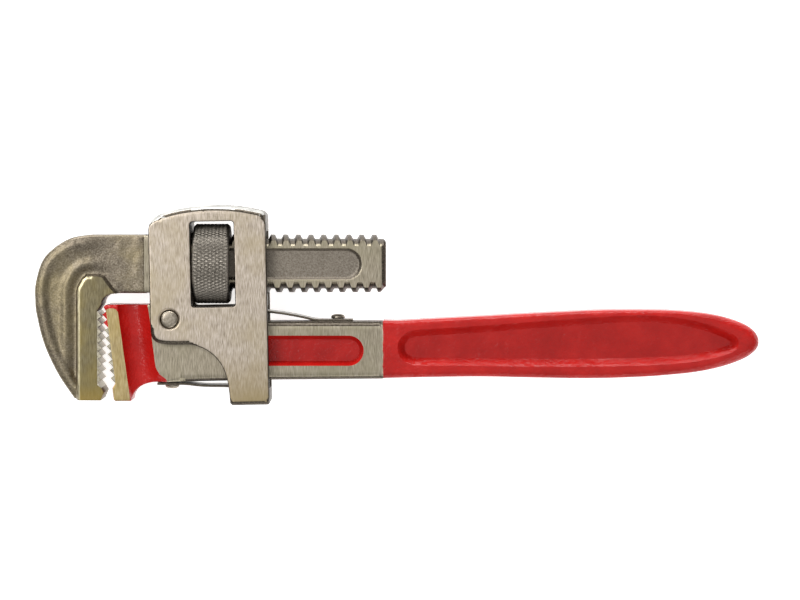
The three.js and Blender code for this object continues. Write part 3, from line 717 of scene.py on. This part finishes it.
# one ring of the bar at a place along it: top, far side, underside, near side
def barRing(x):
    past = max(0, x - barEnd["sideFrom"]) / barEnd["sideRun"]
    half = bar["half"] - barEnd["sideIn"] * (1 - math.sqrt(max(0, 1 - past ** 2)))
    upper = math.inf
    if x > barEnd["topFrom"]:
        bend = math.sqrt(max(0, barEnd["topRadius"] ** 2 - (x - barEnd["topFrom"]) ** 2))
        upper = barEnd["topHeight"] - (barEnd["topRadius"] - bend)
    lower = barEnd["slantHeight"] - max(0, x - barEnd["slantFrom"]) * barEnd["slant"]
    threaded = float(ease((x - bar["threadFrom"]) / bar["threadFade"]))
    z = acrossBar * half

    def edgeHeights(z, under, limit):
        radius = np.full(len(z), bar["radius"])
        for _ in range(6):
            angle = np.arcsin(np.clip(z / radius, -1, 1))
            radius = threadRadius(x, math.pi - angle if under else angle)
        cut = np.sqrt(np.maximum(radius ** 2 - z ** 2, 0))
        plain = bar["radius"] - edgeDrop(half - np.abs(z), bar["plainEdge"])
        return np.minimum(cut * threaded + plain * (1 - threaded), limit)

    top = edgeHeights(z, False, upper)
    bottom = edgeHeights(-z, True, lower)
    points = [(x, bar["axis"] + h, w) for h, w in zip(top, z)]
    for way, first, last in ((-1, top[-1], -bottom[0]), (1, -bottom[-1], top[0])):
        rows = -way * grooveRows
        start, end = rows[0], rows[-1]
        rows = np.concatenate([first + (start - first) * np.array([0.35, 0.7]), rows,
                               end + (last - end) * np.array([0.3, 0.65])])
        side = [(x, bar["axis"] + y, way * (half - d)) for y, d in zip(rows, grooveAt(x, rows))]
        points += side
        if way < 0:
            points += [(x, bar["axis"] - h, -w) for h, w in zip(bottom, z)]
    return points[::-1]


# walls of the bar, painted dark as shade
def barWalls(middles, normals):
    return flatness(normals) < 0.6


def grooveFloor(middles, normals):
    y = middles[:, 1] - bar["axis"]
    return (grooveAt(middles[:, 0], y) > 0.12) & (np.abs(y) < 6.3) & (np.abs(middles[:, 2]) > 4)


# the bar's end, painted dark as shade
def barTip(middles, normals):
    return (middles[:, 0] > 84.5) | (np.abs(normals[:, 0]) > 0.97)


barPlaces = np.concatenate([np.arange(-10.4, 3.4, 0.9), np.arange(3.5, 86.0, 0.22), [86.0, 86.12, 86.19]])
threadedBar = loftBody("threaded_bar", [barRing(float(x)) for x in barPlaces], 28)
giveFinish(threadedBar, groundForging, grooveSteel, skinAndShadeSteel)
paintFaces(threadedBar, (2, barWalls), (1, grooveFloor), (2, barTip))
for piece in (hookHead, threadedBar):
    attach(piece, "hook_jaw")
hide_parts("hook_jaw")
print("hook jaw made:", len(hookHead.data.polygons), len(threadedBar.data.polygons), "faces")


# a Geometry Nodes tree with named inputs; its last steps always make one mesh of it in one finish
def newGeometryTree(name, inputs):
    tree = bpy.data.node_groups.new(name, "GeometryNodeTree")
    tree.interface.new_socket("Geometry", in_out="INPUT", socket_type="NodeSocketGeometry")
    tree.interface.new_socket("Geometry", in_out="OUTPUT", socket_type="NodeSocketGeometry")
    for label, kind in inputs:
        tree.interface.new_socket(label, in_out="INPUT", socket_type=kind)
    return tree, addNode(tree, "NodeGroupInput")


def closeTree(tree, source, geometry):
    whole = addNode(tree, "GeometryNodeRealizeInstances", links={"Geometry": geometry})
    dressed = addNode(tree, "GeometryNodeSetMaterial",
                      links={"Geometry": whole.outputs[0], "Material": source.outputs["Material"]})
    addNode(tree, "NodeGroupOutput", links={"Geometry": dressed.outputs[0]})


def runTree(thing, tree, **values):
    change = thing.modifiers.new("shape", "NODES")
    change.node_group = tree
    for item in tree.interface.items_tree:
        if item.in_out == "INPUT" and item.name in values:
            change[item.identifier] = values[item.name]
    flatten(thing)


# a row of teeth: the object's own mesh is one tooth, repeated along a step
toothTree, given = newGeometryTree("toothRow", [
    ("Count", "NodeSocketInt"), ("Step", "NodeSocketVector"), ("Material", "NodeSocketMaterial")])
row = addNode(toothTree, "GeometryNodeMeshLine", {"mode": "OFFSET"},
              links={"Count": given.outputs["Count"], "Offset": given.outputs["Step"]})
spread = addNode(toothTree, "GeometryNodeInstanceOnPoints",
                 links={"Points": row.outputs["Mesh"], "Instance": given.outputs["Geometry"]})
closeTree(toothTree, given, spread.outputs["Instances"])

teeth = {"pitch": 3.175, "half": 9.4, "sunk": 2.3, "steep": 0.38}


# tip and step are millimetres, and the profile is taken round the first tooth's tip
def toothRow(name, tip, step, profile, count, material, body):
    corners = [(tip[0] + x, tip[1] + y) for x, y in profile]
    solid = [(x, y, teeth["half"]) for x, y in corners] + [(x, y, -teeth["half"]) for x, y in corners]
    n = len(corners)
    faces = [tuple(range(n)), tuple(range(2 * n - 1, n - 1, -1))]
    faces += [(i, i + n, (i + 1) % n + n, (i + 1) % n) for i in range(n)]
    thing = meshObject(name, inFrame(solid), faces, 20)
    runTree(thing, toothTree, Count=count, Step=[step[0] * 0.001, step[1] * 0.001, 0.0], Material=material)
    thing.data.set_sharp_from_angle(angle=math.radians(20))
    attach(thing, body)


pitch, steep = teeth["pitch"], teeth["steep"] * teeth["pitch"]
gentle = pitch - steep
hookTooth = [(-teeth["sunk"], -steep), (-1.6, -steep), (-0.07, -0.08), (-0.07, 0.06), (-1.6, gentle),
             (-teeth["sunk"], gentle)]
heelLean = handle["heelSlope"]
heelTooth = [(teeth["sunk"], steep), (1.6 - heelLean * steep, steep), (0.07, 0.08), (0.07, -0.06),
             (1.6 + heelLean * gentle, -gentle), (teeth["sunk"] + 0.3, -gentle)]
heelStep = (heelLean * pitch, -pitch)
toothRow("hook_teeth", (-27.35, -27.5), (0, pitch), hookTooth, 10, toothSteel, "hook_jaw")
toothRow("heel_teeth", (-26.9 + 2 * heelStep[0], 1.7 + 2 * heelStep[1]), heelStep, heelTooth, 7, toothSteel,
         "handle")
toothRow("heel_teeth_painted", (-26.9, 1.7), heelStep, heelTooth, 2, redEnamel, "handle")
print("teeth made")


nut = {"left": 9.27, "width": 14.4, "radius": 16.0, "edge": 0.9, "perTurn": 67, "knurlPitch": 2.9,
       "knurlDepth": 0.5, "gap": 0.35}

# diamond knurl: two crossing sets of V grooves pressed into the rim
knurlTree, given = newGeometryTree("diamondKnurl", [
    ("Axis", "NodeSocketVector"), ("Per Turn", "NodeSocketFloat"), ("Pitch", "NodeSocketFloat"),
    ("Depth", "NodeSocketFloat"), ("Material", "NodeSocketMaterial")])


def knurlMath(operation, first, second):
    node = addNode(knurlTree, "ShaderNodeMath", {"operation": operation})
    for number, value in enumerate((first, second)):
        if isinstance(value, bpy.types.NodeSocket):
            knurlTree.links.new(value, node.inputs[number])
        else:
            node.inputs[number].default_value = value
    return node.outputs[0]


# the "grip" attribute keeps the grooves off the rim's corners
where = addNode(knurlTree, "GeometryNodeInputPosition")
fromAxis = addNode(knurlTree, "ShaderNodeVectorMath", {"operation": "SUBTRACT"},
                   links={0: where.outputs[0], 1: given.outputs["Axis"]})
parts = addNode(knurlTree, "ShaderNodeSeparateXYZ", links={0: fromAxis.outputs[0]})
heading = knurlMath("ARCTAN2", parts.outputs[2], parts.outputs[1])
turn = knurlMath("MULTIPLY", knurlMath("DIVIDE", heading, math.tau), given.outputs["Per Turn"])
along = knurlMath("DIVIDE", parts.outputs[0], given.outputs["Pitch"])
ridges = [knurlMath("MULTIPLY", knurlMath("PINGPONG", knurlMath(way, turn, along), 0.5), 2.0)
          for way in ("ADD", "SUBTRACT")]
rise = knurlMath("MINIMUM", knurlMath("MULTIPLY", knurlMath("MINIMUM", *ridges), 1.35), 1.0)
grip = addNode(knurlTree, "GeometryNodeInputNamedAttribute", {"data_type": "FLOAT"}, {"Name": "grip"})
sink = knurlMath("MULTIPLY", knurlMath("MULTIPLY", knurlMath("SUBTRACT", rise, 1.0), given.outputs["Depth"]),
                 grip.outputs["Attribute"])
outward = addNode(knurlTree, "ShaderNodeCombineXYZ", links={1: parts.outputs[1], 2: parts.outputs[2]})
unit = addNode(knurlTree, "ShaderNodeVectorMath", {"operation": "NORMALIZE"}, links={0: outward.outputs[0]})
push = addNode(knurlTree, "ShaderNodeVectorMath", {"operation": "SCALE"},
               links={0: unit.outputs[0], "Scale": sink})
pressed = addNode(knurlTree, "GeometryNodeSetPosition",
                  links={"Geometry": given.outputs["Geometry"], "Offset": push.outputs[0]})
closeTree(knurlTree, given, pressed.outputs[0])

# the section of the ring: places along the axis, radii, and how much of the knurl is pressed there
middle = nut["left"] + nut["width"] / 2
side, rim = nut["width"] / 2, nut["radius"]
band = [k * nut["knurlPitch"] / 8 for k in range(-17, 18)]
outer = [(-side, rim - nut["edge"] - 0.1, 0.0), (-side + 0.1, rim - nut["edge"] + 0.06, 0.0),
         (-side + 0.55, rim - 0.36, 0.25), (-side + 0.88, rim - 0.05, 0.8)]
outer += [(x, rim, 1.0) for x in band]
outer += [(-x, r, g) for x, r, g in outer[3::-1]]
bore = [side - 0.5 * k for k in range(29)] + [-side]
sides = nut["perTurn"] * 8
rings, grips = [], []
for j in range(sides):
    angle = math.tau * j / sides
    section = [(middle + x, r, g) for x, r, g in outer]
    section += [(middle + x, float(threadRadius(middle + x, angle, 0.3)) + nut["gap"], 0.0) for x in bore]
    rings.append([(x, bar["axis"] + r * math.cos(angle), r * math.sin(angle)) for x, r, g in section])
    grips += [g for x, r, g in section]
nutRing = loftBody("knurled_nut", rings, 40, True)
nutRing.data.attributes.new("grip", "FLOAT", "POINT").data.foreach_set("value", grips)
runTree(nutRing, knurlTree, Axis=list(inFrame((middle, bar["axis"], 0))), Pitch=nut["knurlPitch"] * 0.001,
        Depth=nut["knurlDepth"] * 0.001, Material=darkSteel, **{"Per Turn": float(nut["perTurn"])})
nutRing.data.set_sharp_from_angle(angle=math.radians(40))
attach(nutRing, "adjusting_nut")
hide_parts("adjusting_nut")
print("nut made:", len(nutRing.data.polygons), "faces")


cheeks = {"half": 12.8, "slotHalf": 8.2, "lean": 1.1, "topEdge": 2.4, "legEdge": 1.4, "lipEdge": 1.6,
          "edge": 0.45, "slant": 0.5, "windowEdge": 0.35, "holeRadius": 3.75, "holeEdge": 0.5, "ledgeTop": 8.65,
          "ledgeHeight": 4.6}
archX, archY, archRadius = 17.875, -28.0, 73.0


# the frame's top is an arc
def archAt(x):
    return archY + math.sqrt(archRadius ** 2 - (x - archX) ** 2)


frameOutline = np.concatenate([
    [(24.3, -34.8), (38.3, -34.8), (38.9, -34.6), (39.1, -34.0), (39.1, 40.45), (38.9, 41.1), (38.5, 41.55)],
    [(x, archAt(x)) for x in np.linspace(37.8, -2.85, 24)],
    curveThrough([(-4.45, 40.9), (-6.15, 39.5), (-7.25, 37.4), (-7.55, 35.4)], 4),
    curveThrough([(-7.55, -4.6), (-7.4, -6.2), (-6.55, -8.0), (-4.75, -9.3), (-1.55, -10.0), (3.0, -10.2),
                  (8.6, -10.32), (12.3, -11.4), (15.4, -13.15), (18.2, -15.6), (20.7, -19.3), (22.4, -24.0),
                  (23.2, -28.9), (23.5, -34.0)], 5),
])
windowCorners = [(25.2, 37.4), (10.2, 37.4), (10.2, 5.8), (25.2, 5.8)]
windowLine = np.concatenate([
    arcPoints(corner, 1.2, 90 * i, 90 * i + 90, 4) for i, corner in enumerate(windowCorners)])
rivetHole = arcPoints((0, 0), cheeks["holeRadius"], 0, 360, 40)[:-1]


def cheekHalf(points, apart):
    x, y = points[:, 0], points[:, 1]
    width = cheeks["edge"] + (cheeks["topEdge"] - cheeks["edge"]) * ease((y - 37) / 4)
    width = width + (cheeks["legEdge"] - cheeks["edge"]) * ease((-32 - y) / 2)
    width = width + (cheeks["lipEdge"] - cheeks["edge"]) * ease((-1.5 - y) / 3) * ease((11 - x) / 5)
    apart = distanceTo(points, frameOutline)
    half = cheeks["half"] - bevelDrop(apart, width, width * cheeks["slant"])
    half = half - bevelDrop(apart, width * 0.4, width * 0.4)
    half = half - bevelDrop(distanceTo(points, windowLine), cheeks["windowEdge"], cheeks["windowEdge"])
    fromHole = np.maximum(np.hypot(x, y) - cheeks["holeRadius"], 0)
    return half - bevelDrop(fromHole, cheeks["holeEdge"], cheeks["holeEdge"])


# the frame's walls, painted dark as shade along its outline
def frameWalls(middles, normals):
    return (flatness(normals) < 0.97) & (np.hypot(middles[:, 0], middles[:, 1]) > 6)


# the rounding along the top, given pale spring steel as a painted highlight
def frameTopHighlight(middles, normals):
    return (normals[:, 1] > 0.5) & (middles[:, 1] > 36) & (flatness(normals) > 0.25)


def slotWalls(middles, normals):
    inSlot = (middles[:, 1] > -29) & (middles[:, 1] < 34.5) & (np.abs(normals[:, 0]) < 0.9)
    return inSlot & (np.abs(middles[:, 2]) < cheeks["slotHalf"] + 0.05)


# the plate is slotted into two cheeks, and a ledge for the upper spring is put back between them
frameBody = reliefBody("frame_forging", frameOutline, [windowLine, rivetHole], cheekHalf, 0.9,
                       (0.12, 0.3, 0.6, 1.0, 1.5, 2.1), (), 0.5)
boolean(frameBody, boxTool((-30, -28.7, -cheeks["slotHalf"]), (60, 34.2, cheeks["slotHalf"])), "DIFFERENCE")
ledgeBottom = cheeks["ledgeTop"] - cheeks["ledgeHeight"]
boolean(frameBody, boxTool((26.4, ledgeBottom, -8.6), (38.6, cheeks["ledgeTop"], 8.6)), "UNION")
giveFinish(frameBody, groundSteel, grooveSteel, skinAndShadeSteel, springSteel)
paintFaces(frameBody, (2, frameWalls), (3, frameTopHighlight), (1, slotWalls))
lean = Matrix.Rotation(math.radians(cheeks["lean"]), 4, "Z")
frameBody.data.transform(Matrix.Translation(pivot) @ lean @ Matrix.Translation([-p for p in pivot]))
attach(frameBody, "frame")
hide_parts("frame")
print("frame made:", len(frameBody.data.polygons), "faces")


rivets = {"radius": 3.5, "top": 13.12, "headRadius": 2.8, "headTop": 2.98}


# the hammer leaves a head a little out of round
def dented(angle):
    return 0.02 * math.sin(3 * angle + 0.6) + 0.012 * math.sin(5 * angle + 2.1) + 0.008 * math.sin(9 * angle)


# a head's profile, as steps in from its radius and down from its top
def headProfile(radius, top, steps):
    return [(radius - inset, top - down) for inset, down in steps]


def mirrored(profile):
    return [(r, -h) for r, h in profile[::-1]]


flush = headProfile(rivets["radius"], rivets["top"], [
    (0.08, 1.8), (0, 1.1), (0.08, 0.8), (0.3, 0.5), (0.65, 0.26), (1.1, 0.1), (1.7, 0.02), (2.5, 0), (3.2, 0)])
pivotRivet = turnedBody("pivot_rivet", mirrored(flush) + flush, (0, 0, 0), "Z", 72, dented)
shank = [(0.3, -4.5), (1.4, -4.5), (1.5, -4.3), (1.5, 1.26)]
domed = shank + headProfile(rivets["headRadius"], rivets["headTop"], [
    (0.35, 1.72), (0.1, 1.56), (0, 1.23), (0.08, 0.83), (0.4, 0.48), (0.9, 0.23), (1.6, 0.05), (2.4, 0)])
upperRivet = turnedBody("upper_rivet", domed, (66.9, -1.4, 0), "Y", 48, dented)
lowerRivet = turnedBody("lower_rivet", mirrored(domed), (0.2, -25.45, 0), "Y", 48, dented)
for piece, node in ((pivotRivet, "frame_pivot_rivet"), (upperRivet, "upper_spring_rivet"),
                    (lowerRivet, "lower_spring_rivet")):
    giveFinish(piece, rivetSteel)
    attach(piece, "handle")
    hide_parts(node)


springs = {"halfThick": 0.45, "halfWide": 6.0, "corner": 0.16}
thick, wide, corner = springs["halfThick"], springs["halfWide"], springs["corner"]
section = [(-wide, corner - thick), (corner - wide, -thick), (wide - corner, -thick), (wide, corner - thick)]
section += [(-z, -h) for z, h in section]


# the strip's narrow edges, painted dark as shade
def springEdges(middles, normals):
    return flatness(normals) > 0.6


# a strip along a line; between start and end it bends from the handle to the frame
def leafSpring(name, line, node):
    line = resample(line, 0.8, False)
    ahead = np.gradient(line, axis=0)
    ahead /= np.hypot(ahead[:, 0], ahead[:, 1])[:, None]
    rings = [[(p[0] - a[1] * h, p[1] + a[0] * h, z) for z, h in section] for p, a in zip(line, ahead)]
    thing = loftBody(name, rings, 30)
    giveFinish(thing, springSteel, skinAndShadeSteel)
    paintFaces(thing, (1, springEdges))
    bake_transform(thing)
    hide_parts(node)


leafSpring("upper_spring", np.concatenate([
    [(72.9, -0.66), (59.4, -0.66)],
    curveThrough([(57.4, -0.5), (51.9, 0.75), (45.9, 1.85), (39.4, 2.7), (30.4, 3.8), (27.4, 3.6)], 6),
]), "upper_leaf_spring")
leafSpring("lower_spring", np.concatenate([
    [(-5.4, -26.2), (5.2, -26.2)],
    curveThrough([(7.2, -26.32), (13.2, -26.95), (22.2, -27.1), (28.5, -27.4), (33.5, -26.91)], 6),
]), "lower_leaf_spring")
print("rivets and springs made")


studio = {"floorGlow": 0.75, "overhead": 0.86, "around": 0.34, "behind": 0.6, "side": 4.0, "back": 9.0,
          "front": 2.5, "lens": 126, "camera": (0.00102, 0.04952, 1.14062), "tilt": -math.atan2(0.0342, 0.8033)}
floor = meshObject("studio_floor", [(-2, -2, 0), (2, -2, 0), (2, 2, 0), (-2, 2, 0)], [(0, 1, 2, 3)])
paper, tree, place = newMaterial("white_paper_sweep")
fibre = addNode(tree, "ShaderNodeTexNoise", values={"Scale": 40.0, "Detail": 3.0}, links={"Vector": place})
shades = setRamp(addNode(tree, "ShaderNodeValToRGB", links={"Fac": fibre.outputs["Fac"]}),
                 [(0.3, "#f7f7f7"), (0.7, "#fbfbfb")])
finishShader(tree, {"Roughness": 0.9, "Specular IOR Level": 0.0, "Emission Strength": studio["floorGlow"]},
             {"Base Color": shades.outputs["Color"], "Emission Color": shades.outputs["Color"]})
giveFinish(floor, paper)

world = bpy.data.worlds.new("studio_room")
world.use_nodes = True
bpy.context.scene.world = world
sky = world.node_tree
sky.nodes.clear()
way = addNode(sky, "ShaderNodeSeparateXYZ", links={0: addNode(sky, "ShaderNodeTexCoord").outputs["Generated"]})


def skyBand(source, low, high, first, last):
    return addNode(sky, "ShaderNodeMapRange", {"interpolation_type": "SMOOTHSTEP"},
                   {"From Min": low, "From Max": high, "To Min": first, "To Max": last},
                   {"Value": source}).outputs["Result"]


# a big soft box overhead, dark walls round it, and a pale wall low down behind the tool's top edge
ceiling = skyBand(way.outputs[2], 0.55, 0.9, studio["around"], studio["overhead"])
lowWall = addNode(sky, "ShaderNodeMath", {"operation": "MULTIPLY"}, links={
    0: skyBand(way.outputs[1], 0.5, 0.95, 0.0, studio["behind"]),
    1: skyBand(way.outputs[2], 0.08, 0.35, 1.0, 0.0)})
whole = addNode(sky, "ShaderNodeMath", {"operation": "ADD"}, links={0: ceiling, 1: lowWall.outputs[0]})
glow = addNode(sky, "ShaderNodeBackground", values={"Color": (1.0, 1.0, 1.0, 1.0)},
               links={"Strength": whole.outputs[0]})
addNode(sky, "ShaderNodeOutputWorld", links={"Surface": glow.outputs[0]})


# a soft rectangle of light aimed at the middle of the tool
def softLight(name, place, size, power):
    lamp = bpy.data.lights.new(name, "AREA")
    lamp.shape = "RECTANGLE"
    lamp.size, lamp.size_y = size
    lamp.energy = power
    thing = addObject(name, lamp)
    thing.location = place
    thing.rotation_euler = (Vector((0, 0, 0.01)) - Vector(place)).to_track_quat("-Z", "Y").to_euler()


softLight("side_light", (-0.5, 0.28, 0.75), (0.4, 0.4), studio["side"])
softLight("back_light", (-0.1, 0.9, 0.22), (1.2, 0.2), studio["back"])
softLight("front_light", (0.3, -0.8, 0.35), (0.8, 0.3), studio["front"])

lens = bpy.data.cameras.new("camera")
lens.lens = studio["lens"]
lens.sensor_width = 36
camera = addObject("camera", lens)
camera.location = studio["camera"]
camera.rotation_euler = (studio["tilt"], 0, 0)
bpy.context.scene.camera = camera
bpy.context.scene.view_settings.view_transform = "Standard"
